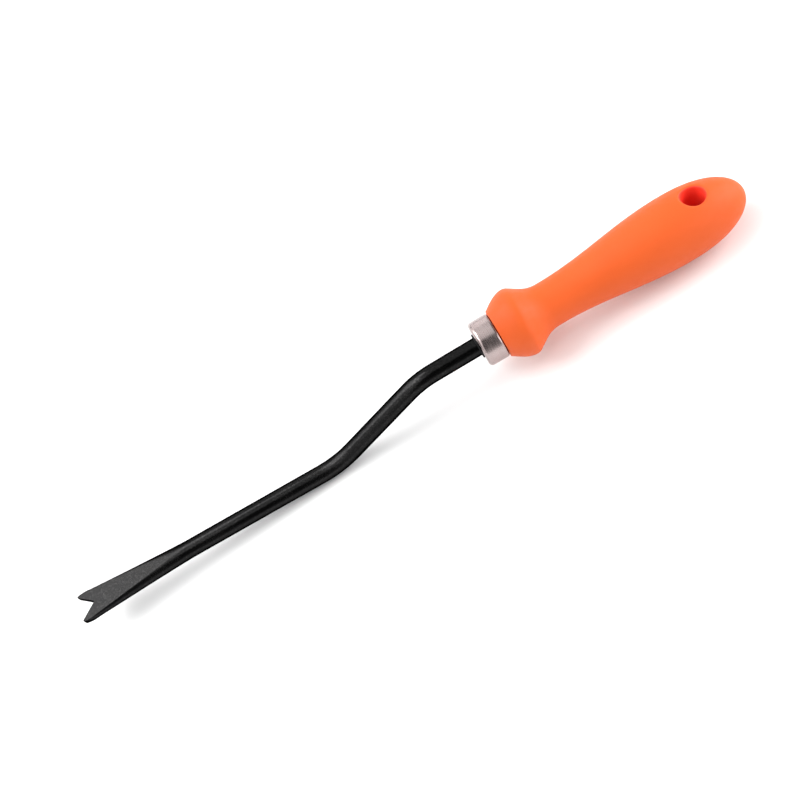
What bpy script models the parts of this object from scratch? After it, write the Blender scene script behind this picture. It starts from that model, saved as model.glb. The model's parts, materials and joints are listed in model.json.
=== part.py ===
"""Hand weeder: a fishtail fork forged on a cranked round bar, a drawn ferrule, and a moulded handle with a hard core.

Tool frame: the handle's axis is X, with x = 0 where the handle meets the ferrule, +X towards the butt and the fork
at -X. The crank lies in the XZ plane, so the fork's upper flat faces about +Z. The whole tool is parented to an empty
that sets it down on the ground plane. Lengths are in millimetres until MM turns them into metres.
"""

import math

import bmesh
import bpy
from mathutils import Matrix, Vector

MM = 0.001
GAP = 0.3  # clearance between pieces that touch

# bar
ROD_R = 4.0
CRANK_START_X = -37.2  # where the two straight centre lines of the first bend cross
CRANK_LENGTH = 53.1
CRANK_DROP_DEG = 24.5
CRANK_RETURN_DEG = 26.4
BEND_1_R = 31.0
BEND_2_R = 39.0
TIP_X = -215.5

# fork, measured along the blade from the tips
BLADE_LENGTH = 56.0
FORK_HALF_WIDTH = 7.15
FORK_WIDEST_BACK = 6.4
TIP_THICKNESS = 2.3
FLAT_RUN = 50.0
NOTCH_DEPTH = 8.8
NOTCH_HALF_DEG = 38.2
PRONG_OUTSIDE_R = 16.0
PRONG_TIP_R = 0.6

# tang, inside the handle
TANG_END_X = 66.0
WING_START_X, WING_END_X = 24.0, 54.0
WING_HALF_WIDTH, WING_HALF_THICKNESS = 5.2, 2.7
TANG_TIP_R = 2.6

# ferrule
FERRULE_R = 9.93
FERRULE_LENGTH = 9.1
FERRULE_WALL = 0.8
FERRULE_HOLE_R = 5.7
FERRULE_CHAMFER = 0.6
NOSE_STANDS_OUT = 0.6
FERRULE_SHOULDER_R = 1.7

# handle
HANDLE_LENGTH = 113.3
FRONT_R = 10.25
BULB_X, BULB_R = 10.2, 15.0
BULB_CREST_FILLET = 3.6
BULB_BACK_DEG = 33.0
NECK_FILLET = 13.0
NECK_X, NECK_R = 25.0, 9.65
BELLY_X, BELLY_R = 82.0, 14.55
BUTT_POWER = 2.3
GRIP_WALL = 2.6
BUTT_WALL = 3.4

# hang hole, straight through the handle along Z
HOLE_X = 92.4
HOLE_R = 4.95
HOLE_RIM = 1.3
LINING_WALL = 2.0

# how the tool is set down: crank upright, on the heel of the second bend and the handle's belly
REST_PITCH_DEG = 3.616


def clear_scene():
    for obj in list(bpy.data.objects):
        bpy.data.objects.remove(obj, do_unlink=True)
    for mesh in list(bpy.data.meshes):
        bpy.data.meshes.remove(mesh)


def new_collection(name):
    made = bpy.data.collections.new(name)
    bpy.context.scene.collection.children.link(made)
    return made


def material(name, colour, roughness, metallic=0.0):
    made = bpy.data.materials.new(name)
    made.use_nodes = True
    shader = made.node_tree.nodes["Principled BSDF"]
    shader.inputs["Base Color"].default_value = (*colour, 1.0)
    shader.inputs["Roughness"].default_value = roughness
    shader.inputs["Metallic"].default_value = metallic
    made.diffuse_color = (*colour, 1.0)
    return made


def mesh_object(name, mesh, collection, mat=None):
    obj = bpy.data.objects.new(name, mesh)
    collection.objects.link(obj)
    if mat:
        mesh.materials.append(mat)
    return obj


def smooth(obj, degrees=35.0):
    for polygon in obj.data.polygons:
        polygon.use_smooth = True
    obj.data.set_sharp_from_angle(angle=math.radians(degrees))


def cutter(obj):
    obj.hide_render = True
    obj.display_type = "WIRE"


def boolean(obj, other, operation="DIFFERENCE"):
    modifier = obj.modifiers.new(f"{operation.lower()}_{other.name}", "BOOLEAN")
    modifier.operation = operation
    modifier.solver = "EXACT"
    modifier.object = other


# ---------------------------------------------------------------- turned pieces


def turned(name, profile, steps, collection, mat=None):
    """A closed solid turned about X from (x, r) points, given from the rear end, along the outside, to the front."""
    mesh = bpy.data.meshes.new(name)
    shape = bmesh.new()
    verts = [shape.verts.new((x * MM, 0, r * MM)) for x, r in profile]
    for a, b in zip(verts, verts[1:]):
        shape.edges.new((a, b))
    if profile[0][1] > 0 or profile[-1][1] > 0:
        shape.edges.new((verts[-1], verts[0]))
    shape.to_mesh(mesh)
    shape.free()
    obj = mesh_object(name, mesh, collection, mat)
    screw = obj.modifiers.new("turn", "SCREW")
    screw.axis = "X"
    screw.angle = 2 * math.pi
    screw.steps = screw.render_steps = steps
    screw.use_merge_vertices = True
    screw.merge_threshold = 0.00001
    screw.use_smooth_shade = True
    screw.use_normal_calculate = True
    return obj


def arc(cx, cr, radius, start_deg, end_deg, count):
    angles = [math.radians(start_deg + (end_deg - start_deg) * i / count) for i in range(count + 1)]
    return [(cx + radius * math.cos(a), cr + radius * math.sin(a)) for a in angles]


def handle_r(x):
    """Radius of the handle's outside at x."""
    slope = math.radians(BULB_BACK_DEG)
    crest_run = BULB_CREST_FILLET * math.tan(slope / 2)
    crest_corner = BULB_X + crest_run
    neck_corner = crest_corner + (BULB_R - NECK_R) / math.tan(slope)
    neck_run = NECK_FILLET * math.tan(slope / 2)
    if x <= BULB_X:
        return FRONT_R + (BULB_R - FRONT_R) * math.sin(math.pi / 2 * max(x, 0) / BULB_X)
    if x <= crest_corner + crest_run * math.cos(slope):
        return BULB_R - BULB_CREST_FILLET + math.sqrt(BULB_CREST_FILLET**2 - (x - BULB_X) ** 2)
    if x <= neck_corner - neck_run * math.cos(slope):
        return BULB_R - (x - crest_corner) * math.tan(slope)
    if x <= neck_corner + neck_run:
        return NECK_R + NECK_FILLET - math.sqrt(NECK_FILLET**2 - (neck_corner + neck_run - x) ** 2)
    if x <= NECK_X:
        return NECK_R
    if x <= BELLY_X:
        return NECK_R + (BELLY_R - NECK_R) * (1 - math.cos(math.pi * (x - NECK_X) / (BELLY_X - NECK_X))) / 2
    t = min((x - BELLY_X) / (HANDLE_LENGTH - BELLY_X), 1.0)
    return BELLY_R * math.sqrt(max(0.0, 1 - t**BUTT_POWER))


def handle_stations(count_front, count_back, count_belly, count_butt):
    """x positions from the butt to the front, closer together where the outline turns."""
    xs = [
        BELLY_X + (HANDLE_LENGTH - BELLY_X) * math.sin(math.pi / 2 * i / count_butt)
        for i in range(count_butt, 0, -1)
    ]
    xs += [NECK_X + (BELLY_X - NECK_X) * i / count_belly for i in range(count_belly, 0, -1)]
    xs += [BULB_X + (NECK_X - BULB_X) * i / count_back for i in range(count_back, 0, -1)]
    xs += [BULB_X * i / count_front for i in range(count_front, -1, -1)]
    return xs


def inset(x, wall):
    """The point a wall's thickness inside the handle's outline at x."""
    step = 0.05
    a, b = max(x - step, 0.0), min(x + step, HANDLE_LENGTH - 1e-6)
    dx, dr = b - a, handle_r(b) - handle_r(a)
    length = math.hypot(dx, dr)
    return x + wall * dr / length, handle_r(x) - wall * dx / length


def core_outline(extra):
    """(x, r) of the core from its rear end to the handle's front, grown by extra."""
    wall = GRIP_WALL - extra
    end_x = HANDLE_LENGTH - BUTT_WALL + extra
    points = [(end_x, 0.0)]
    for x in handle_stations(3, 6, 6, 7):
        px, pr = inset(x, wall)
        if pr < 0.8 or px > end_x - 0.25 or px < 3.0:
            continue
        points.append((px, pr))
    spigot = FERRULE_R - FERRULE_WALL - GAP + extra
    points.append((1.6, spigot + 0.5))
    points.append((0.0, spigot))
    return points


# ---------------------------------------------------------------- the bar


def bar_path():
    """(start point, unit direction, length, bend radius, bend angle) runs of the bar's centre line in XZ, from tang to tips."""
    drop, back = math.radians(CRANK_DROP_DEG), math.radians(CRANK_RETURN_DEG)
    first = Vector((CRANK_START_X, 0.0, 0.0))
    along = [
        Vector((-1.0, 0.0, 0.0)),
        Vector((-math.cos(drop), 0.0, -math.sin(drop))),
        Vector((-math.cos(drop - back), 0.0, -math.sin(drop - back))),
    ]
    second = first + along[1] * CRANK_LENGTH
    tip = second + along[2] * ((TIP_X - second.x) / along[2].x)
    return first, second, tip, along


def bar_frames():
    """(distance back from the tips, centre, direction towards the tang) along the bar, from the tips to the tang's end."""
    first, second, tip, along = bar_path()
    drop, back = math.radians(CRANK_DROP_DEG), math.radians(CRANK_RETURN_DEG)
    run_1, run_2 = BEND_1_R * math.tan(drop / 2), BEND_2_R * math.tan(back / 2)
    frames = []

    def straight(a, b, steps, skip_first=True):
        for i in range(1 if skip_first else 0, steps + 1):
            frames.append((a.lerp(b, i / steps), (b - a).normalized()))

    def bend(centre_from, direction_in, direction_out, angle, radius, steps):
        side = (direction_out - direction_in * direction_in.dot(direction_out)).normalized()
        hub = centre_from + side * radius
        for i in range(1, steps + 1):
            a = angle * i / steps
            frames.append(
                (
                    hub - side * radius * math.cos(a) + direction_in * radius * math.sin(a),
                    direction_in * math.cos(a) + side * math.sin(a),
                )
            )

    blade_end = tip - along[2] * BLADE_LENGTH
    straight(tip, blade_end, 16, skip_first=False)
    a = second + along[2] * run_2
    straight(blade_end, a, 2)
    bend(a, -along[2], -along[1], back, BEND_2_R, 8)
    b = first + along[1] * run_1
    straight(frames[-1][0], b, 2)
    bend(b, -along[1], -along[0], drop, BEND_1_R, 8)
    straight(frames[-1][0], Vector((WING_START_X - 8.0, 0, 0)), 3)
    straight(frames[-1][0], Vector((TANG_END_X - 1.5, 0, 0)), 12)
    frames.append((Vector((TANG_END_X, 0, 0)), Vector((1, 0, 0))))
    total, out = 0.0, []
    for i, (point, direction) in enumerate(frames):
        if i:
            total += (point - frames[i - 1][0]).length
        out.append((total, point, direction))
    return out


def ease(t):
    t = min(max(t, 0.0), 1.0)
    return t * t * (3 - 2 * t)


def bar_section(back, x):
    """(half width, half height) of the bar before its flats are struck, at a distance back from the tips."""
    if x > WING_START_X - 8.0:
        up = ease((x - (WING_START_X - 8.0)) / 8.0) * (1 - ease((x - WING_END_X) / 8.0))
        end = ease((x - WING_END_X) / (TANG_END_X - WING_END_X))
        plain = ROD_R + (TANG_TIP_R - ROD_R) * end
        if x >= TANG_END_X - 0.01:
            plain -= 0.8
        return plain + (WING_HALF_WIDTH - plain) * up, plain + (WING_HALF_THICKNESS - plain) * up
    if back < BLADE_LENGTH:
        t = (BLADE_LENGTH - back) / (BLADE_LENGTH - FORK_WIDEST_BACK)
        return ROD_R + (FORK_HALF_WIDTH - ROD_R) * min(t, 1.0) ** 1.15, ROD_R
    return ROD_R, ROD_R


def bar_mesh(name, around, grow=0.0, from_x=None):
    shape = bmesh.new()
    rings = []
    for back, point, direction in bar_frames():
        if from_x is not None and point.x < from_x:
            continue
        half_w, half_h = bar_section(back, point.x)
        up = Vector((-direction.z, 0.0, direction.x))
        ring = []
        for i in range(around):
            a = 2 * math.pi * i / around
            offset = Vector((0, 1, 0)) * ((half_w + grow) * math.cos(a)) + up * ((half_h + grow) * math.sin(a))
            ring.append(shape.verts.new((point + offset) * MM))
        rings.append(ring)
    if grow:
        for vert in rings[-1]:
            vert.co.x += grow * MM
    for one, two in zip(rings, rings[1:]):
        for i in range(around):
            j = (i + 1) % around
            shape.faces.new((one[i], one[j], two[j], two[i]))
    shape.faces.new(rings[0])
    shape.faces.new(rings[-1])
    bmesh.ops.recalc_face_normals(shape, faces=shape.faces)
    mesh = bpy.data.meshes.new(name)
    shape.to_mesh(mesh)
    shape.free()
    return mesh


def blade_matrix():
    """World from blade coordinates: origin at the tips on the centre line, X back along the blade, Z up off its flat."""
    _, _, tip, along = bar_path()
    back = -along[2]
    up = Vector((-back.z, 0.0, back.x))
    side = up.cross(back)
    rotation = Matrix((back, side, up)).transposed()
    return Matrix.Translation(tip * MM) @ rotation.to_4x4()


def outline_prism(name, points, collection, half_height, matrix):
    """A flat outline as a filled 2D curve, extruded both ways and converted to a closed mesh."""
    curve = bpy.data.curves.new(name, "CURVE")
    curve.dimensions = "2D"
    curve.fill_mode = "BOTH"
    curve.extrude = half_height * MM
    spline = curve.splines.new("POLY")
    spline.points.add(len(points) - 1)
    for point, (x, y) in zip(spline.points, points):
        point.co = (x * MM, y * MM, 0.0, 1.0)
    spline.use_cyclic_u = True
    holder = bpy.data.objects.new(name + "_curve", curve)
    collection.objects.link(holder)
    bpy.context.view_layer.update()
    graph = bpy.context.evaluated_depsgraph_get()
    mesh = bpy.data.meshes.new_from_object(holder.evaluated_get(graph))
    shape = bmesh.new()
    shape.from_mesh(mesh)
    bmesh.ops.remove_doubles(shape, verts=shape.verts, dist=1e-7)
    bmesh.ops.recalc_face_normals(shape, faces=shape.faces)
    shape.to_mesh(mesh)
    shape.free()
    bpy.data.objects.remove(holder, do_unlink=True)
    obj = mesh_object(name, mesh, collection)
    obj.matrix_world = matrix
    return obj


def box_object(name, size, matrix, collection):
    mesh = bpy.data.meshes.new(name)
    shape = bmesh.new()
    bmesh.ops.create_cube(shape, size=1.0)
    bmesh.ops.scale(shape, vec=[s * MM for s in size], verts=shape.verts)
    shape.to_mesh(mesh)
    shape.free()
    obj = mesh_object(name, mesh, collection)
    obj.matrix_world = matrix
    return obj


def prong_outline():
    """Points from the bottom of the V, round one prong's tip and along its outside, to where it is widest."""
    a = math.radians(NOTCH_HALF_DEG)
    into = Vector((math.sin(a), math.cos(a)))
    along = Vector((-math.cos(a), math.sin(a)))
    hub = Vector((FORK_WIDEST_BACK, FORK_HALF_WIDTH - PRONG_OUTSIDE_R))
    start = Vector((NOTCH_DEPTH, 0.0)) + into * PRONG_TIP_R - hub
    b, c = start.dot(along), start.length_squared - (PRONG_OUTSIDE_R - PRONG_TIP_R) ** 2
    centre = hub + start + along * (math.sqrt(b * b - c) - b)
    outward = (centre - hub).normalized()
    first, last = math.atan2(-into.y, -into.x), math.atan2(outward.y, outward.x)
    if first < 0:
        first += 2 * math.pi
    points = [(NOTCH_DEPTH, 0.0)]
    for i in range(7):
        t = first + (last - first) * i / 6
        points.append((centre.x + PRONG_TIP_R * math.cos(t), centre.y + PRONG_TIP_R * math.sin(t)))
    for i in range(1, 9):
        t = last + (math.pi / 2 - last) * i / 8
        points.append((hub.x + PRONG_OUTSIDE_R * math.cos(t), hub.y + PRONG_OUTSIDE_R * math.sin(t)))
    points.append((FORK_WIDEST_BACK + 1.2, FORK_HALF_WIDTH + 0.12))
    return points


def flat_slope():
    return math.atan((ROD_R - TIP_THICKNESS / 2) / FLAT_RUN)


def build_bar(parts, cutters, mat):
    bar = mesh_object("fork_and_shaft", bar_mesh("fork_and_shaft", 28), parts, mat)
    blade = blade_matrix()
    # the two flats of the wedge, struck above and below
    block = (90.0, 40.0, 20.0)
    for sign, name in ((1, "upper_flat"), (-1, "lower_flat")):
        lean = Matrix.Rotation(-sign * flat_slope(), 4, "Y")
        place = Matrix.Translation(Vector((0, 0, sign * TIP_THICKNESS / 2)) * MM)
        inner = Matrix.Translation(Vector((block[0] / 2 - 20.0, 0, sign * block[2] / 2)) * MM)
        cut = box_object(name, block, blade @ place @ lean @ inner, cutters)
        cutter(cut)
        boolean(bar, cut)
    # the trimming die: the V between the prongs, their rounded tips and their curved outsides
    prong = prong_outline()
    outer = [(FORK_WIDEST_BACK + 2.0, 20.0), (-12.0, 20.0)]
    die = prong + outer + [(x, -y) for x, y in outer[::-1] + prong[:0:-1]]
    trim = outline_prism("trim", die, cutters, 14.0, blade)
    cutter(trim)
    boolean(bar, trim)
    smooth(bar, 28.0)
    return bar


# ---------------------------------------------------------------- ferrule and handle


def build_ferrule(parts, mat):
    front, rear = -FERRULE_LENGTH, -GAP / 2
    r, s, w = FERRULE_R, FERRULE_SHOULDER_R, FERRULE_WALL
    outside = [(rear, r - FERRULE_CHAMFER), (rear - FERRULE_CHAMFER, r)]
    outside += arc(front + s, r - s, s, 90, 180, 5)
    lip = [(front, FERRULE_HOLE_R + 0.25), (front + 0.25, FERRULE_HOLE_R), (front + w, FERRULE_HOLE_R)]
    inside = arc(front + s, r - s, s - w, 180, 90, 3)
    points = outside + lip + inside + [(rear, r - w)]
    return turned("ferrule", points, 48, parts, mat)


def build_core(parts, cutters, mat):
    spigot = FERRULE_R - FERRULE_WALL - GAP
    front = -FERRULE_LENGTH + FERRULE_WALL + GAP
    round_r = FERRULE_SHOULDER_R - FERRULE_WALL + 0.1
    points = core_outline(0.0)
    points += arc(front + round_r, spigot - round_r, round_r, 90, 180, 3)
    # the nose that shows round the bar, through the ferrule's hole
    nose_r, nose_front = FERRULE_HOLE_R - GAP, -FERRULE_LENGTH - NOSE_STANDS_OUT
    points += [(front, nose_r), (nose_front + 0.25, nose_r), (nose_front, nose_r - 0.25), (nose_front, 0.0)]
    core = turned("handle_core", points, 36, parts, mat)
    socket = mesh_object(
        "tang_socket", bar_mesh("tang_socket", 18, grow=GAP, from_x=-24.0), cutters
    )
    cutter(socket)
    boolean(core, socket)
    eye = cylinder("core_eye", HOLE_R + LINING_WALL + GAP, 50.0, 32, HOLE_X, cutters)
    cutter(eye)
    boolean(core, eye)
    return core


def cylinder(name, radius, length, steps, x, collection):
    mesh = bpy.data.meshes.new(name)
    shape = bmesh.new()
    bmesh.ops.create_cone(
        shape, cap_ends=True, segments=steps, radius1=radius * MM, radius2=radius * MM, depth=length * MM
    )
    shape.to_mesh(mesh)
    shape.free()
    obj = mesh_object(name, mesh, collection)
    obj.location = (x * MM, 0, 0)
    return obj


def hang_hole_mesh(name, around, rim_steps):
    """The hang hole's cutter: a straight bore whose rims open in a fillet that follows the handle's round outside."""
    shape = bmesh.new()
    rings = []
    levels = []
    for i in range(rim_steps + 1):
        a = math.radians(82.0) * i / rim_steps
        levels.append((HOLE_R + HOLE_RIM * (1 - math.cos(a)), HOLE_RIM * (math.sin(a) - 1)))
    out_r = levels[-1][0] + 0.12

    def surface(x, y):
        return math.sqrt(max(handle_r(x) ** 2 - y * y, 0.0))

    for sign in (-1, 1):
        side = []
        for radius, drop in levels:
            ring = []
            for k in range(around):
                a = 2 * math.pi * k / around
                x, y = HOLE_X + radius * math.cos(a), radius * math.sin(a)
                ring.append(shape.verts.new((x * MM, y * MM, sign * (surface(x, y) + drop) * MM)))
            side.append(ring)
        ring = []
        for k in range(around):
            a = 2 * math.pi * k / around
            x, y = HOLE_X + out_r * math.cos(a), out_r * math.sin(a)
            ring.append(shape.verts.new((x * MM, y * MM, sign * 22.0 * MM)))
        side.append(ring)
        rings += side[::-1] if sign < 0 else side
    for one, two in zip(rings, rings[1:]):
        for i in range(around):
            j = (i + 1) % around
            shape.faces.new((one[i], one[j], two[j], two[i]))
    shape.faces.new(rings[0])
    shape.faces.new(rings[-1])
    bmesh.ops.recalc_face_normals(shape, faces=shape.faces)
    mesh = bpy.data.meshes.new(name)
    shape.to_mesh(mesh)
    shape.free()
    return mesh


def build_grip(parts, cutters, mat):
    front = GAP / 2
    outline = [(HANDLE_LENGTH, 0.0)]
    outline += [(x, handle_r(x)) for x in handle_stations(5, 10, 9, 10)[1:-1]]
    outline += [(front + 0.4, handle_r(front + 0.4)), (front, handle_r(front) - 0.3), (front, 0.0)]
    grip = turned("handle_grip", outline, 44, parts, mat)
    room = core_outline(GAP)
    spigot = FERRULE_R - FERRULE_WALL
    room += [(-4.0, spigot), (-4.0, 0.0)]
    hollow = turned("core_room", room, 36, cutters)
    cutter(hollow)
    post = cylinder("lining_post", HOLE_R + LINING_WALL, 60.0, 32, HOLE_X, cutters)
    cutter(post)
    boolean(hollow, post)
    boolean(grip, hollow)
    hole = mesh_object("hang_hole", hang_hole_mesh("hang_hole", 32, 4), cutters)
    cutter(hole)
    boolean(grip, hole)
    return grip


def extent(objects):
    """The lowest and highest corners of the finished pieces."""
    bpy.context.view_layer.update()
    graph = bpy.context.evaluated_depsgraph_get()
    points = []
    for obj in objects:
        made = obj.evaluated_get(graph)
        mesh = made.to_mesh()
        points += [made.matrix_world @ v.co for v in mesh.vertices]
        made.to_mesh_clear()
    low = Vector([min(p[i] for p in points) for i in range(3)])
    high = Vector([max(p[i] for p in points) for i in range(3)])
    return low, high


def main():
    clear_scene()
    parts = new_collection("hand_weeder")
    cutters = new_collection("cutters")
    cutters.hide_render = True
    black_steel = material("black_coated_steel", (0.012, 0.012, 0.013), 0.42)
    plated = material("bright_plating", (0.72, 0.70, 0.70), 0.22, 1.0)
    hard_plastic = material("black_hard_plastic", (0.02, 0.02, 0.022), 0.5)
    orange = material("orange_soft_plastic", (0.93, 0.15, 0.035), 0.55)

    made = [
        build_bar(parts, cutters, black_steel),
        build_ferrule(parts, plated),
        build_core(parts, cutters, hard_plastic),
        build_grip(parts, cutters, orange),
    ]
    rest = bpy.data.objects.new("set_down", None)
    parts.objects.link(rest)
    rest.rotation_euler = (0, math.radians(REST_PITCH_DEG), 0)
    for obj in made + list(cutters.objects):
        obj.parent = rest
    low, high = extent(made)
    rest.location = (-(low.x + high.x) / 2, -(low.y + high.y) / 2, -low.z)
    bpy.context.view_layer.update()


main()
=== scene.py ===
"""Looks for the hand weeder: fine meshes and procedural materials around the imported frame, a pale floor and soft studio light."""

import json
import math

import bmesh
import bpy
import numpy as np
from mathutils import Matrix, Vector


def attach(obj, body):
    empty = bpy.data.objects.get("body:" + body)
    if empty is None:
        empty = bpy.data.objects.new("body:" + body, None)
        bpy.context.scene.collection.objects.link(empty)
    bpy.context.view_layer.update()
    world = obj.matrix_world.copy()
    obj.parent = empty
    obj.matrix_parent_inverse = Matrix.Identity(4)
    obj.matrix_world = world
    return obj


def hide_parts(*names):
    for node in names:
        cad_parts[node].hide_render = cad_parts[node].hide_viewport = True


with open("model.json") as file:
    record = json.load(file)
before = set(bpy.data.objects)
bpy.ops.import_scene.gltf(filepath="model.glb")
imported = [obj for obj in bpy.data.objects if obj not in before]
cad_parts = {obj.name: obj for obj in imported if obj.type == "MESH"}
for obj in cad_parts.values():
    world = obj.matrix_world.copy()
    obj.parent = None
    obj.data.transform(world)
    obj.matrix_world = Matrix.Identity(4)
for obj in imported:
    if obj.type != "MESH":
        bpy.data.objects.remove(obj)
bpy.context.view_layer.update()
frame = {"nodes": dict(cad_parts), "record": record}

MM = 0.001
GAP = 0.3

# ---------------------------------------------------------------- the tool's own frame
# X runs along the handle towards the butt, with 0 where the handle meets the ferrule; the crank lies in XZ.
# The hang hole's mount says where that frame sits in the row's frame. Lengths in it are millimetres.

HOLE_X = 92.4
hang = next(m for m in frame["record"]["mounts"] if m["name"] == "hang_hole")
hole_up = Vector(hang["axis"]).normalized()
hole_side = Vector((0.0, 1.0, 0.0))
hole_along = hole_side.cross(hole_up)
TURN = Matrix((hole_along, hole_side, hole_up)).transposed()
ORIGIN = Vector(hang["pos_m"]) - TURN @ Vector((HOLE_X * MM, 0.0, 0.0))
TOOL = Matrix.Translation(ORIGIN) @ TURN.to_4x4() @ Matrix.Scale(MM, 4)


def mesh_from(name, verts, faces, sharp_deg=None, weld=0.0):
    """A piece from points in the tool's frame, in millimetres, put in the row's frame and facing outwards."""
    mesh = bpy.data.meshes.new(name)
    shape = bmesh.new()
    made = [shape.verts.new(TOOL @ Vector(v)) for v in verts]
    for face in faces:
        corners = []
        for i in face:
            if made[i] not in corners:
                corners.append(made[i])
        if len(corners) > 2:
            shape.faces.new(corners)
    if weld:
        bmesh.ops.remove_doubles(shape, verts=shape.verts, dist=weld * MM)
    bmesh.ops.recalc_face_normals(shape, faces=shape.faces)
    shape.to_mesh(mesh)
    shape.free()
    for polygon in mesh.polygons:
        polygon.use_smooth = True
    if sharp_deg is not None:
        mesh.set_sharp_from_angle(angle=math.radians(sharp_deg))
    obj = bpy.data.objects.new(name, mesh)
    bpy.context.scene.collection.objects.link(obj)
    return obj


def cut(obj, other, sharp_deg):
    """obj less other, as a plain mesh."""
    modifier = obj.modifiers.new("cut", "BOOLEAN")
    modifier.operation = "DIFFERENCE"
    modifier.solver = "EXACT"
    modifier.object = other
    bpy.context.view_layer.update()
    graph = bpy.context.evaluated_depsgraph_get()
    mesh = bpy.data.meshes.new_from_object(obj.evaluated_get(graph))
    obj.modifiers.clear()
    old = obj.data
    obj.data = mesh
    mesh.name = obj.name
    bpy.data.meshes.remove(old)
    other_mesh = other.data
    bpy.data.objects.remove(other, do_unlink=True)
    bpy.data.meshes.remove(other_mesh)
    shape = bmesh.new()
    shape.from_mesh(mesh)
    bmesh.ops.remove_doubles(shape, verts=shape.verts, dist=0.0005 * MM)
    bmesh.ops.dissolve_degenerate(shape, dist=0.0005 * MM, edges=shape.edges)
    shape.to_mesh(mesh)
    shape.free()
    for polygon in mesh.polygons:
        polygon.use_smooth = True
    mesh.set_sharp_from_angle(angle=math.radians(sharp_deg))
    return obj


# ---------------------------------------------------------------- handle

HANDLE_LENGTH = 113.3
FRONT_R = 10.25
BULB_X, BULB_R = 10.2, 15.0
BULB_CREST_FILLET = 3.6
BULB_BACK_DEG = 33.0
NECK_FILLET = 13.0
NECK_X, NECK_R = 25.0, 9.65
BELLY_X, BELLY_R = 82.0, 14.55
BUTT_POWER = 2.3
GRIP_WALL = 2.6
BUTT_WALL = 3.4
HOLE_R = 4.95
HOLE_RIM = 1.3
LINING_WALL = 2.0
FERRULE_R = 9.93
FERRULE_LENGTH = 9.1
FERRULE_WALL = 0.8
FERRULE_HOLE_R = 5.7
FERRULE_SHOULDER_R = 1.7
FERRULE_TURN_R, FERRULE_TURN_DEG = 2.0, 26.0


def handle_r(x):
    slope = math.radians(BULB_BACK_DEG)
    crest_run = BULB_CREST_FILLET * math.tan(slope / 2)
    crest_corner = BULB_X + crest_run
    neck_corner = crest_corner + (BULB_R - NECK_R) / math.tan(slope)
    neck_run = NECK_FILLET * math.tan(slope / 2)
    if x <= BULB_X:
        return FRONT_R + (BULB_R - FRONT_R) * math.sin(math.pi / 2 * max(x, 0) / BULB_X)
    if x <= crest_corner + crest_run * math.cos(slope):
        return BULB_R - BULB_CREST_FILLET + math.sqrt(BULB_CREST_FILLET**2 - (x - BULB_X) ** 2)
    if x <= neck_corner - neck_run * math.cos(slope):
        return BULB_R - (x - crest_corner) * math.tan(slope)
    if x <= neck_corner + neck_run:
        return NECK_R + NECK_FILLET - math.sqrt(NECK_FILLET**2 - (neck_corner + neck_run - x) ** 2)
    if x <= NECK_X:
        return NECK_R
    if x <= BELLY_X:
        return NECK_R + (BELLY_R - NECK_R) * (1 - math.cos(math.pi * (x - NECK_X) / (BELLY_X - NECK_X))) / 2
    t = min((x - BELLY_X) / (HANDLE_LENGTH - BELLY_X), 1.0)
    return BELLY_R * math.sqrt(max(0.0, 1 - t**BUTT_POWER))


def even_stations(x0, x1, step):
    """x positions from x0 to x1 about the same distance apart along the handle's outline."""
    fine = np.concatenate([np.linspace(x0, x1, 4001)])
    if x1 > HANDLE_LENGTH - 0.01:
        fine = x0 + (x1 - x0) * np.sin(np.linspace(0, math.pi / 2, 4001))
    radii = np.array([handle_r(x) for x in fine])
    run = np.concatenate([[0], np.cumsum(np.hypot(np.diff(fine), np.diff(radii)))])
    count = max(2, round(run[-1] / step))
    return [float(x) for x in np.interp(np.linspace(0, run[-1], count + 1), run, fine)]


def inset(x, wall):
    step = 0.05
    a, b = max(x - step, 0.0), min(x + step, HANDLE_LENGTH - 1e-6)
    dx, dr = b - a, handle_r(b) - handle_r(a)
    length = math.hypot(dx, dr)
    return x + wall * dr / length, handle_r(x) - wall * dx / length


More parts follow.
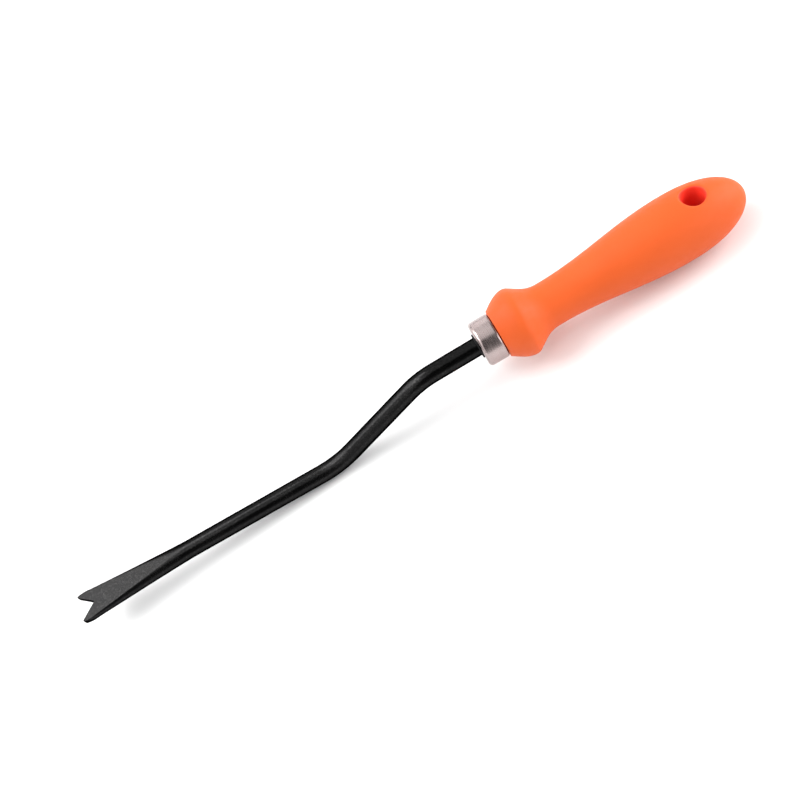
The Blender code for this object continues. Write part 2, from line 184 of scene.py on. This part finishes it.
def grip_outside():
    """The grip's outside as one closed mesh, with the hang hole's bore and rounded rims built into its grid."""
    around = 144
    half_patch = 16  # columns each side of the hole's axis that its patch takes
    patch = 9.3  # the patch's half length along X
    front = GAP / 2
    xs = even_stations(front + 0.4, HOLE_X - patch, 0.8)
    first_row = len(xs) - 1
    middle = [HOLE_X - patch + 2 * patch * i / 24 for i in range(1, 25)]
    xs += middle
    last_row = len(xs) - 1
    rear = even_stations(HOLE_X + patch, HANDLE_LENGTH, 0.6)
    xs += rear[1:-1]
    verts, faces = [], []
    grid = []

    def add(v):
        verts.append(v)
        return len(verts) - 1

    def ring(x, r):
        return [
            add((x, r * math.sin(2 * math.pi * k / around), r * math.cos(2 * math.pi * k / around)))
            for k in range(around)
        ]

    # the front face and its small round
    edge = 0.4
    face_r = handle_r(front) - edge
    rows = [ring(front, face_r * 0.5), ring(front, face_r)]
    for i in range(1, 4):
        a = math.radians(90.0 * i / 4)
        rows.append(ring(front + edge * (1 - math.cos(a)), face_r + edge * math.sin(a) * (handle_r(front + 0.4) - face_r) / edge))
    offset = len(rows)
    for x in xs:
        rows.append(ring(x, handle_r(x)))
    grid = rows
    pole_front, pole_rear = add((front, 0, 0)), add((HANDLE_LENGTH, 0, 0))
    lo, hi = first_row + offset, last_row + offset
    quarter = around // 2

    def in_patch(k):
        k = k % around
        for centre in (0, quarter):
            away = (k - centre + around // 2) % around - around // 2
            if -half_patch <= away < half_patch:
                return True
        return False

    for i in range(len(grid) - 1):
        for k in range(around):
            if lo <= i < hi and in_patch(k):
                continue
            j = (k + 1) % around
            faces.append((grid[i][k], grid[i][j], grid[i + 1][j], grid[i + 1][k]))
    for k in range(around):
        j = (k + 1) % around
        faces.append((pole_front, grid[0][j], grid[0][k]))
        faces.append((pole_rear, grid[-1][k], grid[-1][j]))

    # the hole: from each patch's edge, rings that close in to the rim, down its round and through the bore
    def plan_loop(sign):
        """Indices round a patch's edge, in the same order in plan for the upper and the lower one."""
        centre = 0 if sign > 0 else quarter
        column = [(centre + sign * c) % around for c in range(-half_patch, half_patch + 1)]
        loop = [grid[lo][c] for c in column]
        loop += [grid[i][column[-1]] for i in range(lo + 1, hi + 1)]
        loop += [grid[hi][c] for c in column[::-1][1:]]
        loop += [grid[i][column[0]] for i in range(hi - 1, lo, -1)]
        return loop

    def surface(x, y):
        return math.sqrt(max(handle_r(x) ** 2 - y * y, 0.0))

    rim_steps, out_steps = 10, 7
    last = {}
    for sign in (1, -1):
        loop = plan_loop(sign)
        edges = [verts[i] for i in loop]
        angles = [math.atan2(e[1], e[0] - HOLE_X) for e in edges]
        rings = [loop]
        for step in range(1, out_steps + 1):
            t = step / out_steps
            t = 1 - (1 - t) ** 1.35
            this = []
            for e, a in zip(edges, angles):
                r = HOLE_R + HOLE_RIM
                cx, cy = HOLE_X + r * math.cos(a), r * math.sin(a)
                x, y = e[0] + (cx - e[0]) * t, e[1] + (cy - e[1]) * t
                this.append(add((x, y, sign * surface(x, y))))
            rings.append(this)
        for step in range(1, rim_steps + 1):
            a0 = math.radians(90.0 * (1 - step / rim_steps))
            r, drop = HOLE_R + HOLE_RIM * (1 - math.cos(a0)), HOLE_RIM * (math.sin(a0) - 1)
            this = []
            for a in angles:
                x, y = HOLE_X + r * math.cos(a), r * math.sin(a)
                this.append(add((x, y, sign * (surface(x, y) + drop))))
            rings.append(this)
        for one, two in zip(rings, rings[1:]):
            for i in range(len(loop)):
                j = (i + 1) % len(loop)
                faces.append((one[i], one[j], two[j], two[i]))
        last[sign] = rings[-1]
    upper, lower = last[1], last[-1]
    bore_steps = 14
    rings = [upper]
    for step in range(1, bore_steps):
        t = step / bore_steps
        rings.append(
            [
                add(tuple(verts[u][c] + (verts[v][c] - verts[u][c]) * t for c in range(3)))
                for u, v in zip(upper, lower)
            ]
        )
    rings.append(lower)
    for one, two in zip(rings, rings[1:]):
        for i in range(len(one)):
            j = (i + 1) % len(one)
            faces.append((one[i], one[j], two[j], two[i]))
    return verts, faces


def turned_mesh(points, around):
    """Vertices and faces of (x, r) points turned about X. The first and last point may lie on the axis."""
    verts, faces, rows = [], [], []
    for x, r in points:
        if r < 1e-6:
            verts.append((x, 0.0, 0.0))
            rows.append([len(verts) - 1] * around)
            continue
        row = []
        for k in range(around):
            a = 2 * math.pi * k / around
            verts.append((x, r * math.sin(a), r * math.cos(a)))
            row.append(len(verts) - 1)
        rows.append(row)
    loops = list(zip(rows, rows[1:]))
    if points[0][1] > 1e-6 and points[-1][1] > 1e-6:
        loops.append((rows[-1], rows[0]))
    for one, two in loops:
        for k in range(around):
            j = (k + 1) % around
            faces.append((one[k], one[j], two[j], two[k]))
    return verts, faces


def build_grip():
    grip = mesh_from("grip_shell", *grip_outside())
    end_x = HANDLE_LENGTH - BUTT_WALL + GAP
    wall = GRIP_WALL - GAP
    room = [(end_x, 0.0)]
    for x in even_stations(3.0, HANDLE_LENGTH - 0.3, 2.5)[::-1]:
        px, pr = inset(x, wall)
        if pr > 0.8 and 3.0 < px < end_x - 0.25:
            room.append((px, pr))
    spigot = FERRULE_R - FERRULE_WALL
    room += [(1.6, spigot + 0.5), (0.0, spigot), (-4.0, spigot), (-4.0, 0.0)]
    hollow = mesh_from("hollow", *turned_mesh(room, 72))
    post_verts, post_faces = [], []
    count = 64
    for z in (-20.0, 20.0):
        for k in range(count):
            a = 2 * math.pi * k / count
            r = HOLE_R + LINING_WALL
            post_verts.append((HOLE_X + r * math.cos(a), r * math.sin(a), z))
    post_faces += [tuple(range(count)), tuple(range(count, 2 * count))]
    post_faces += [(k, (k + 1) % count, count + (k + 1) % count, count + k) for k in range(count)]
    post = mesh_from("post", post_verts, post_faces)
    cut(hollow, post, 30)
    cut(grip, hollow, 35)
    return grip


def arc(cx, cr, radius, start_deg, end_deg, count):
    angles = [math.radians(start_deg + (end_deg - start_deg) * i / count) for i in range(count + 1)]
    return [(cx + radius * math.cos(a), cr + radius * math.sin(a)) for a in angles]


def build_ferrule():
    front, rear = -FERRULE_LENGTH, -GAP / 2
    r, s, w = FERRULE_R, FERRULE_SHOULDER_R, FERRULE_WALL
    # the rear edge: it turns in gently, and its corner is broken
    turn, corner, sweep = FERRULE_TURN_R, 0.25, math.radians(FERRULE_TURN_DEG)
    top = 90 - FERRULE_TURN_DEG
    centre_r = r - turn * (1 - math.cos(sweep)) - corner * math.cos(sweep)
    straight = rear - corner * (1 - math.sin(sweep)) - turn * math.sin(sweep)
    points = [(rear, centre_r - 0.06)] + arc(rear - corner, centre_r, corner, 0, top, 6)
    points += arc(straight, r - turn, turn, top, 90, 12)[1:]
    points += [(straight + (front + s - straight) * i / 8, r) for i in range(1, 8)]
    points += arc(front + s, r - s, s, 90, 180, 16)
    face = r - s
    points += [(front, face + (FERRULE_HOLE_R + 0.3 - face) * i / 4) for i in range(1, 4)]
    points += arc(front + 0.3, FERRULE_HOLE_R + 0.3, 0.3, 180, 270, 6)
    points += [(front + w, FERRULE_HOLE_R)]
    points += arc(front + s, r - s, s - w, 180, 90, 8)
    points += [(rear, r - w)]
    return mesh_from("ferrule_shell", *turned_mesh(points, 160), sharp_deg=50)


# ---------------------------------------------------------------- bar and fork

ROD_R = 4.0
CRANK_START_X = -37.2
CRANK_LENGTH = 53.1
CRANK_DROP_DEG = 24.5
CRANK_RETURN_DEG = 26.4
BEND_1_R = 31.0
BEND_2_R = 39.0
TIP_X = -215.5
BLADE_LENGTH = 56.0
FORK_HALF_WIDTH = 7.15
FORK_WIDEST_BACK = 6.4
TIP_THICKNESS = 2.3
FLAT_RUN = 50.0
NOTCH_DEPTH = 8.8
NOTCH_HALF_DEG = 38.2
PRONG_OUTSIDE_R = 16.0
PRONG_TIP_R = 0.6
TANG_END_X = 66.0
WING_START_X, WING_END_X = 24.0, 54.0
WING_HALF_WIDTH, WING_HALF_THICKNESS = 5.2, 2.7
TANG_TIP_R = 2.6
EDGE = 0.28  # half the height over which a struck flat turns into the bar's side


def bar_path():
    drop, back = math.radians(CRANK_DROP_DEG), math.radians(CRANK_RETURN_DEG)
    first = Vector((CRANK_START_X, 0.0, 0.0))
    along = [
        Vector((-1.0, 0.0, 0.0)),
        Vector((-math.cos(drop), 0.0, -math.sin(drop))),
        Vector((-math.cos(drop - back), 0.0, -math.sin(drop - back))),
    ]
    second = first + along[1] * CRANK_LENGTH
    tip = second + along[2] * ((TIP_X - second.x) / along[2].x)
    return first, second, tip, along


def prong_plan():
    """The tip's centre, the outside arc's centre, and where the tip's round meets the notch and the outside."""
    a = math.radians(NOTCH_HALF_DEG)
    into = Vector((math.sin(a), math.cos(a)))
    along = Vector((-math.cos(a), math.sin(a)))
    hub = Vector((FORK_WIDEST_BACK, FORK_HALF_WIDTH - PRONG_OUTSIDE_R))
    start = Vector((NOTCH_DEPTH, 0.0)) + into * PRONG_TIP_R - hub
    b, c = start.dot(along), start.length_squared - (PRONG_OUTSIDE_R - PRONG_TIP_R) ** 2
    centre = hub + start + along * (math.sqrt(b * b - c) - b)
    outward = (centre - hub).normalized()
    return centre, hub, centre - into * PRONG_TIP_R, centre + outward * PRONG_TIP_R


TIP_CENTRE, ARC_CENTRE, NOTCH_TANGENT, OUTSIDE_TANGENT = prong_plan()
FIRST_BACK = TIP_CENTRE.x - PRONG_TIP_R


def notch_y(back):
    """The notch wall's y at a distance back from the tips."""
    if back >= NOTCH_DEPTH:
        return 0.0
    if back < NOTCH_TANGENT.x:
        return TIP_CENTRE.y - math.sqrt(max(PRONG_TIP_R**2 - (back - TIP_CENTRE.x) ** 2, 0.0))
    return (NOTCH_DEPTH - back) * math.tan(math.radians(NOTCH_HALF_DEG))


def outside_y(back):
    if back >= BLADE_LENGTH:
        return ROD_R
    if back >= FORK_WIDEST_BACK:
        t = (BLADE_LENGTH - back) / (BLADE_LENGTH - FORK_WIDEST_BACK)
        return ROD_R + (FORK_HALF_WIDTH - ROD_R) * t**1.15
    if back < OUTSIDE_TANGENT.x:
        return TIP_CENTRE.y + math.sqrt(max(PRONG_TIP_R**2 - (back - TIP_CENTRE.x) ** 2, 0.0))
    return ARC_CENTRE.y + math.sqrt(PRONG_OUTSIDE_R**2 - (back - ARC_CENTRE.x) ** 2)


def ease(t):
    t = min(max(t, 0.0), 1.0)
    return t * t * (3 - 2 * t)


def flat_height(back):
    return TIP_THICKNESS / 2 + (ROD_R - TIP_THICKNESS / 2) * back / FLAT_RUN


SIDE_STEPS, EDGE_STEPS, TOP_STEPS = 9, 6, 11


def half_section(half_w, half_h, clip, near, far, tip_round, notch_round):
    """(y, z) points of the +Y half of the bar, from the top by the notch, round the outside, to the bottom.

    The bar there is an ellipse half_h high, cut off at heights clip and -clip; half_w is not used. near and far are
    the y of the notch wall and of the outside, between which the half is squeezed.
    """
    limit = min(clip, half_h * 0.86)
    a1 = math.asin((limit - EDGE) / half_h)
    a2 = math.asin(min((limit + EDGE) / half_h, 0.999))
    angles = [a1 * i / SIDE_STEPS for i in range(SIDE_STEPS)]
    angles += [a1 + (a2 - a1) * i / EDGE_STEPS for i in range(EDGE_STEPS)]
    quadrant = []
    for a in angles:
        z = half_h * math.sin(a)
        quadrant.append((math.cos(a), z))
    # across the flat: even in y, and closer together by the notch wall
    y2 = math.cos(a2)
    lip = min(0.3 / max(far - near, 0.8), 0.5 * y2)
    for i in range(TOP_STEPS - 2):
        y = lip + (y2 - lip) * (1 - i / (TOP_STEPS - 2))
        quadrant.append((y, half_h * math.sqrt(max(1 - y * y, 0.0))))
    for y in (lip, lip * 0.35, 0.0):
        quadrant.append((y, half_h * math.sqrt(1 - y * y)))
    out = []
    for y, z in quadrant:
        over = z - clip
        if over > EDGE:
            z = clip
        elif over > -EDGE:
            z = clip - (EDGE - over) ** 2 / (4 * EDGE)
        out.append([near + (far - near) * y, z])
    # the notch wall's top edge is rounded too, and the very tip
    for n, share in ((-2, 0.35), (-1, 1.0)):
        out[n][1] -= notch_round * share
    for point in out:
        point[1] *= tip_round
    upper = out[::-1]
    lower = [[y, -z] for y, z in out[1:]]
    return upper + lower


def blade_stations():
    """Distances back from the tips, closer together round the tips and the notch."""
    backs = [FIRST_BACK + PRONG_TIP_R * (1 - math.cos(math.radians(a))) for a in range(14, 91, 11)]
    start = backs[-1]
    count = 18
    backs += [start + (NOTCH_DEPTH - start) * i / count for i in range(1, count + 1)]
    count = 52
    backs += [NOTCH_DEPTH + (BLADE_LENGTH - NOTCH_DEPTH) * (i / count) ** 1.1 for i in range(1, count + 1)]
    return backs


def bar_stations():
    """(distance back from the tips, centre, direction towards the tang) from the blade's rear to the tang's end."""
    first, second, tip, along = bar_path()
    drop, back = math.radians(CRANK_DROP_DEG), math.radians(CRANK_RETURN_DEG)
    run_1, run_2 = BEND_1_R * math.tan(drop / 2), BEND_2_R * math.tan(back / 2)
    out = []

    def straight(a, b, steps):
        for i in range(1, steps + 1):
            out.append((a.lerp(b, i / steps), (b - a).normalized()))

    def bend(start, direction_in, direction_out, angle, radius, steps):
        side = (direction_out - direction_in * direction_in.dot(direction_out)).normalized()
        hub = start + side * radius
        for i in range(1, steps + 1):
            a = angle * i / steps
            out.append(
                (
                    hub - side * radius * math.cos(a) + direction_in * radius * math.sin(a),
                    direction_in * math.cos(a) + side * math.sin(a),
                )
            )

    blade_end = tip - along[2] * BLADE_LENGTH
    a = second + along[2] * run_2
    straight(blade_end, a, 24)
    bend(a, -along[2], -along[1], back, BEND_2_R, 26)
    b = first + along[1] * run_1
    straight(out[-1][0], b, 14)
    bend(b, -along[1], -along[0], drop, BEND_1_R, 24)
    straight(out[-1][0], Vector((WING_START_X - 8.0, 0, 0)), 20)
    straight(out[-1][0], Vector((TANG_END_X - 1.5, 0, 0)), 24)
    out.append((Vector((TANG_END_X, 0, 0)), Vector((1, 0, 0))))
    return out


def tang_section(x):
    up = ease((x - (WING_START_X - 8.0)) / 8.0) * (1 - ease((x - WING_END_X) / 8.0))
    end = ease((x - WING_END_X) / (TANG_END_X - WING_END_X))
    plain = ROD_R + (TANG_TIP_R - ROD_R) * end
    if x >= TANG_END_X - 0.01:
        plain -= 0.8
    return plain + (WING_HALF_WIDTH - plain) * up, plain + (WING_HALF_THICKNESS - plain) * up


def build_bar():
    _, _, tip, along = bar_path()
    back_dir = -along[2]
    verts, faces = [], []

    def place(points, centre, direction, sign):
        up = Vector((-direction.z, 0.0, direction.x))
        row = []
        for y, z in points:
            verts.append(tuple(centre + Vector((0.0, sign * y, 0.0)) + up * z))
            row.append(len(verts) - 1)
        return row

    wall_steps = 8
    for sign in (1, -1):
        rows = []
        for back in blade_stations():
            near, far = notch_y(back), outside_y(back)
            depth = back - FIRST_BACK
            tip_round = 1.0 if depth > 0.3 else 1 - 0.12 * (1 - depth / 0.3) ** 2
            notch_round = min(0.22, 0.16 * max(NOTCH_DEPTH - back, 0.0), 0.4 * (far - near))
            half_w = FORK_HALF_WIDTH if back < FORK_WIDEST_BACK else far
            points = half_section(half_w, ROD_R, flat_height(back), near, far, tip_round, notch_round)
            centre = tip + back_dir * back
            row = place(points, centre, back_dir, sign)
            wall = None
            if back <= NOTCH_DEPTH + 1e-9:
                (y0, z0), (y1, z1) = points[-1], points[0]
                inner = [
                    (y0 + (y1 - y0) * i / wall_steps, z0 + (z1 - z0) * i / wall_steps)
                    for i in range(1, wall_steps)
                ]
                wall = place(inner, centre, back_dir, sign)
            rows.append((row, wall))
        for (one, wall_1), (two, wall_2) in zip(rows, rows[1:]):
            for i in range(len(one) - 1):
                faces.append((one[i], one[i + 1], two[i + 1], two[i]))
            if wall_1 and wall_2:
                a = [one[-1]] + wall_1 + [one[0]]
                b = [two[-1]] + wall_2 + [two[0]]
                for i in range(len(a) - 1):
                    faces.append((a[i], a[i + 1], b[i + 1], b[i]))
        # the tip's face: strips between the outside and the notch wall
        row, wall = rows[0]
        inner = [row[0]] + wall[::-1] + [row[-1]]
        outer = row
        hub = len(verts)
        mean = sum((Vector(verts[i]) for i in row + wall), Vector()) / len(row + wall)
        verts.append(tuple(mean - back_dir * 0.02))
        loop = outer + wall
        for i in range(len(loop)):
            faces.append((loop[i], loop[(i + 1) % len(loop)], hub))
        previous = rows[-1][0]
        for centre, direction in bar_stations():
            if centre.x > WING_START_X - 8.0:
                half_w, half_h = tang_section(centre.x)
            else:
                half_w = half_h = ROD_R
            points = half_section(half_w, half_h, 50.0, 0.0, half_w, 1.0, 0.0)
            row = place(points, centre, direction, sign)
            for i in range(len(row) - 1):
                faces.append((previous[i], previous[i + 1], row[i + 1], row[i]))
            previous = row
        hub = len(verts)
        verts.append((TANG_END_X, 0.0, 0.0))
        for i in range(len(previous) - 1):
            faces.append((previous[i], previous[i + 1], hub))
    return mesh_from("weeder_bar", verts, faces, sharp_deg=60, weld=0.0005)


# ---------------------------------------------------------------- materials


class Nodes:
    """A material's node tree, built a node at a time."""

    def __init__(self, name):
        self.material = bpy.data.materials.new(name)
        self.material.use_nodes = True
        self.tree = self.material.node_tree
        self.shader = self.tree.nodes["Principled BSDF"]
        coordinates = self.tree.nodes.new("ShaderNodeTexCoord")
        self.position = coordinates.outputs["Object"]

    def link(self, value, socket):
        if isinstance(value, bpy.types.NodeSocket):
            self.tree.links.new(value, socket)
        else:
            socket.default_value = value

    def mapped(self, scale=(1, 1, 1), rotation=(0, 0, 0)):
        node = self.tree.nodes.new("ShaderNodeMapping")
        self.tree.links.new(self.position, node.inputs["Vector"])
        node.inputs["Rotation"].default_value = rotation
        node.inputs["Scale"].default_value = scale
        return node.outputs["Vector"]

    def noise(self, scale, detail=3.0, roughness=0.55, vector=None, distortion=0.0):
        node = self.tree.nodes.new("ShaderNodeTexNoise")
        self.tree.links.new(vector or self.position, node.inputs["Vector"])
        node.inputs["Scale"].default_value = scale
        node.inputs["Detail"].default_value = detail
        node.inputs["Roughness"].default_value = roughness
        node.inputs["Distortion"].default_value = distortion
        return node.outputs["Fac"]

    def cells(self, scale, vector=None):
        node = self.tree.nodes.new("ShaderNodeTexVoronoi")
        self.tree.links.new(vector or self.position, node.inputs["Vector"])
        node.inputs["Scale"].default_value = scale
        return node.outputs["Distance"]

    def ramp(self, value, low, high, to_low=0.0, to_high=1.0):
        node = self.tree.nodes.new("ShaderNodeMapRange")
        node.interpolation_type = "SMOOTHSTEP"
        self.link(value, node.inputs["Value"])
        for name, number in (("From Min", low), ("From Max", high), ("To Min", to_low), ("To Max", to_high)):
            node.inputs[name].default_value = number
        return node.outputs["Result"]

    def mix(self, factor, one, two):
        node = self.tree.nodes.new("ShaderNodeMix")
        node.data_type = "RGBA"
        self.link(factor, node.inputs[0])
        for value, socket in ((one, node.inputs[6]), (two, node.inputs[7])):
            if isinstance(value, tuple):
                socket.default_value = (*value, 1.0)
            else:
                self.tree.links.new(value, socket)
        return node.outputs[2]

    def maths(self, operation, one, two):
        node = self.tree.nodes.new("ShaderNodeMath")
        node.operation = operation
        self.link(one, node.inputs[0])
        self.link(two, node.inputs[1])
        return node.outputs["Value"]

    def bump(self, height, distance, strength=1.0, normal=None):
        node = self.tree.nodes.new("ShaderNodeBump")
        node.inputs["Strength"].default_value = strength
        node.inputs["Distance"].default_value = distance
        self.tree.links.new(height, node.inputs["Height"])
        if normal:
            self.tree.links.new(normal, node.inputs["Normal"])
        return node.outputs["Normal"]

    def from_axis(self, point, axis):
        """Distance of the shaded point from a line, in metres."""
        out = self.position
        for operation, other in (("SUBTRACT", point), ("CROSS_PRODUCT", axis), ("LENGTH", None)):
            node = self.tree.nodes.new("ShaderNodeVectorMath")
            node.operation = operation
            self.tree.links.new(out, node.inputs[0])
            if other is not None:
                node.inputs[1].default_value = other
            out = node.outputs["Value" if operation == "LENGTH" else "Vector"]
        return out

    def put(self, **sockets):
        for name, value in sockets.items():
            socket = self.shader.inputs[name.replace("_", " ")]
            if isinstance(value, tuple) and len(value) == 3 and socket.type == "RGBA":
                value = (*value, 1.0)
            self.link(value, socket)


def orange_plastic():
    n = Nodes("orange_grip")
    broad = n.noise(38.0, 2.0)
    fine = n.noise(2600.0, 2.0, 0.6)
    medium = n.noise(420.0, 3.0)
    colour = n.mix(n.ramp(broad, 0.3, 0.7), (0.660, 0.094, 0.0138), (0.690, 0.101, 0.0158))
    colour = n.mix(n.ramp(medium, 0.62, 0.80, 0.0, 0.25), colour, (0.615, 0.079, 0.0115))
    # painted light: the hang hole's bore is painted a deep red that stands in for light reddened by passing through
    # the wall and bouncing round inside the hole, not for a colour of the plastic itself
    bore = n.ramp(n.from_axis(hang["pos_m"], hole_up), (HOLE_R + 0.05) * MM, (HOLE_R + 0.6) * MM, 1.0, 0.0)
    colour = n.mix(bore, colour, (0.92, 0.072, 0.040))
    rough = n.maths("ADD", n.ramp(medium, 0.3, 0.7, 0.50, 0.60), n.ramp(fine, 0.3, 0.7, -0.03, 0.03))
    normal = n.bump(n.cells(1900.0), 0.00003, 0.35)
    normal = n.bump(fine, 0.00002, 0.5, normal)
    n.put(Base_Color=colour, Roughness=rough, Normal=normal)
    n.shader.inputs["Specular IOR Level"].default_value = 0.26
    return n.material


def plated_steel():
    n = Nodes("ferrule_plating")
    lines = n.noise(900.0, 3.0, 0.6, n.mapped(scale=(6.0, 0.35, 0.35)))
    cloud = n.noise(120.0, 3.0)
    colour = n.mix(n.ramp(cloud, 0.35, 0.65), (0.375, 0.305, 0.298), (0.435, 0.357, 0.348))
    rough = n.maths("ADD", n.ramp(cloud, 0.3, 0.7, 0.20, 0.28), n.ramp(lines, 0.35, 0.65, -0.03, 0.05))
    normal = n.bump(lines, 0.00001, 0.25)
    n.put(Base_Color=colour, Roughness=rough, Normal=normal)
    n.shader.inputs["Metallic"].default_value = 1.0
    return n.material


def black_steel():
    n = Nodes("black_coating")
    peel = n.noise(700.0, 2.0, 0.5)
    grain = n.noise(3200.0, 2.0, 0.6)
    cloud = n.noise(60.0, 3.0)
    colour = n.mix(n.ramp(cloud, 0.3, 0.7), (0.0130, 0.0130, 0.0132), (0.0160, 0.0157, 0.0157))
    colour = n.mix(n.ramp(grain, 0.56, 0.70, 0.0, 0.7), colour, (0.045, 0.044, 0.044))
    speck = n.noise(1250.0, 2.0, 0.6)
    colour = n.mix(n.ramp(speck, 0.52, 0.70, 0.0, 0.55), colour, (0.042, 0.041, 0.041))
    rough = n.maths("ADD", n.ramp(cloud, 0.3, 0.7, 0.19, 0.26), n.ramp(grain, 0.3, 0.7, -0.05, 0.07))
    normal = n.bump(peel, 0.00006, 0.30)
    normal = n.bump(grain, 0.00002, 0.35, normal)
    n.put(Base_Color=colour, Roughness=rough, Normal=normal)
    # a dark conversion coat: it reflects evenly, and grazing light hardly more than the rest
    n.shader.inputs["Metallic"].default_value = 1.0
    n.shader.inputs["Specular Tint"].default_value = (0.15, 0.15, 0.15, 1.0)
    return n.material


def black_plastic():
    n = Nodes("core_plastic")
    fine = n.noise(1500.0, 2.0)
    cloud = n.noise(90.0, 3.0)
    colour = n.mix(cloud, (0.0030, 0.0030, 0.0033), (0.0065, 0.0063, 0.0063))
    n.put(Base_Color=colour, Roughness=n.ramp(fine, 0.3, 0.7, 0.48, 0.62), Normal=n.bump(fine, 0.00003, 0.4))
    n.shader.inputs["Specular IOR Level"].default_value = 0.2
    return n.material


def pale_floor():
    n = Nodes("pale_floor")
    cloud = n.noise(3.0, 2.0)
    colour = n.mix(n.ramp(cloud, 0.3, 0.7), (0.90, 0.90, 0.90), (0.92, 0.92, 0.92))
    n.put(Base_Color=colour, Roughness=n.ramp(cloud, 0.3, 0.7, 0.75, 0.85))
    n.shader.inputs["Specular IOR Level"].default_value = 0.2
    return n.material


def finish_piece(obj, material, node):
    obj.data.materials.clear()
    obj.data.materials.append(material)
    for polygon in obj.data.polygons:
        polygon.material_index = 0
    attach(obj, "root")
    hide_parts(node)


grip = build_grip()
finish_piece(grip, orange_plastic(), "handle_grip")
ferrule = build_ferrule()
finish_piece(ferrule, plated_steel(), "ferrule")
bar = build_bar()
finish_piece(bar, black_steel(), "fork_and_shaft")

core = frame["nodes"]["handle_core"]
core_material = black_plastic()
if core.material_slots:
    for holder in core.material_slots:
        holder.material = core_material
else:
    core.data.materials.append(core_material)

# ---------------------------------------------------------------- studio

CAMERA_MM = Vector((-17.81428241, -268.73033694, 365.71309761))
CAMERA_RIGHT = Vector((0.85766434, -0.38039806, -0.34599017))
CAMERA_UP = Vector((0.50994197, 0.71572183, 0.47718074))
CAMERA_BACK = Vector((0.06611409, -0.58569581, 0.80783002))

camera_data = bpy.data.cameras.new("camera")
camera_data.lens = 50.0
camera_data.sensor_width = 36.0
camera_data.shift_x = -0.5 / 800
camera_data.shift_y = 0.5 / 800
camera_data.clip_start = 0.01
camera_data.clip_end = 50.0
camera = bpy.data.objects.new("camera", camera_data)
bpy.context.scene.collection.objects.link(camera)
turn = Matrix([TURN @ v for v in (CAMERA_RIGHT, CAMERA_UP, CAMERA_BACK)]).transposed()
camera.matrix_world = Matrix.Translation(TOOL @ CAMERA_MM) @ turn.to_4x4()
bpy.context.scene.camera = camera

floor_mesh = bpy.data.meshes.new("floor")
shape = bmesh.new()
bmesh.ops.create_circle(shape, cap_ends=True, segments=128, radius=1.1)
shape.to_mesh(floor_mesh)
shape.free()
floor = bpy.data.objects.new("floor", floor_mesh)
bpy.context.scene.collection.objects.link(floor)
floor.location.z = -0.0002
floor_mesh.materials.append(pale_floor())


def softbox(name, azimuth, elevation, size, power):
    """A square area light 1.3 m from the tool. Azimuth 0 is the -Y side and 90 the +X side, beyond the butt."""
    data = bpy.data.lights.new(name, "AREA")
    data.shape = "SQUARE"
    data.size = size
    data.energy = power
    obj = bpy.data.objects.new(name, data)
    bpy.context.scene.collection.objects.link(obj)
    a, e = math.radians(azimuth), math.radians(elevation)
    position = 1.3 * Vector((math.sin(a) * math.cos(e), -math.cos(a) * math.cos(e), math.sin(e)))
    obj.location = position
    obj.rotation_euler = (-position).to_track_quat("-Z", "Y").to_euler()
    return obj


softbox("top", 0, 88, 0.9, 2.5)
softbox("key_left_rear", 240, 55, 0.9, 14.9)
softbox("key_left_front", 300, 55, 0.9, 4.4)
softbox("high_rear", 180, 55, 0.9, 2.3)
softbox("low_right", 90, 22, 0.8, 14.0)
softbox("low_right_front", 45, 22, 0.8, 5.8)
softbox("low_right_rear", 135, 22, 0.8, 2.3)
softbox("low_rear", 180, 22, 0.8, 2.9)
softbox("low_left_rear", 225, 22, 0.8, 3.2)
softbox("low_left_front", 315, 22, 0.8, 1.8)

world = bpy.data.worlds.new("studio")
bpy.context.scene.world = world
world.use_nodes = True
tree = world.node_tree
background = tree.nodes["Background"]
background.inputs["Color"].default_value = (1.0, 1.0, 1.0, 1.0)
# the room is pale at the height of the floor and dim overhead, between the lights
toward = tree.nodes.new("ShaderNodeTexCoord")
split = tree.nodes.new("ShaderNodeSeparateXYZ")
tree.links.new(toward.outputs["Generated"], split.inputs[0])
shade = tree.nodes.new("ShaderNodeMapRange")
shade.interpolation_type = "SMOOTHSTEP"
tree.links.new(split.outputs["Z"], shade.inputs["Value"])
for name, number in (("From Min", 0.04), ("From Max", 0.42), ("To Min", 0.52), ("To Max", 0.10)):
    shade.inputs[name].default_value = number
tree.links.new(shade.outputs["Result"], background.inputs["Strength"])

scene = bpy.context.scene
scene.view_settings.view_transform = "Standard"
scene.view_settings.look = "None"
scene.view_settings.exposure = 0.0
scene.view_settings.gamma = 1.0
